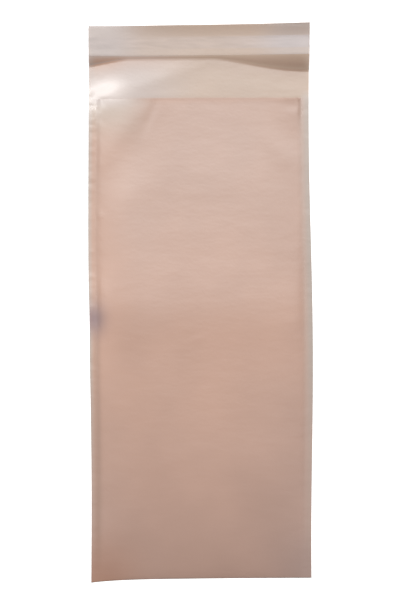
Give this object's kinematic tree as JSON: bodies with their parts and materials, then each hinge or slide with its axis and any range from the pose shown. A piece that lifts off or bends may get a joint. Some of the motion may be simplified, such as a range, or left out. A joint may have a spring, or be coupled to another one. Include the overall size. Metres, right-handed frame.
{
  "type": "self-seal plastic bag",
  "caption": "Flat thin-film pocket, open at the mouth and lying on its back, with welded sides and a long flap that carries an adhesive strip under a release liner.",
  "frame": {"origin": "on the surface that the bag lies on, under the middle of its outline", "axes": "+Y from the bottom fold to the flap, +Z out of the front panel, +X to the right as seen from above"},
  "size_m": [0.1, 0.2505, 0.0064],
  "materials": {
    "film": "thin translucent film, softly glossy",
    "adhesive": "thin tacky layer, satin",
    "liner": "thin clear release film, glossy"
  },
  "bodies": {
    "root": {"bag_film": "film", "adhesive_strip": "adhesive", "release_liner": "liner"}
  },
  "joints": []
}
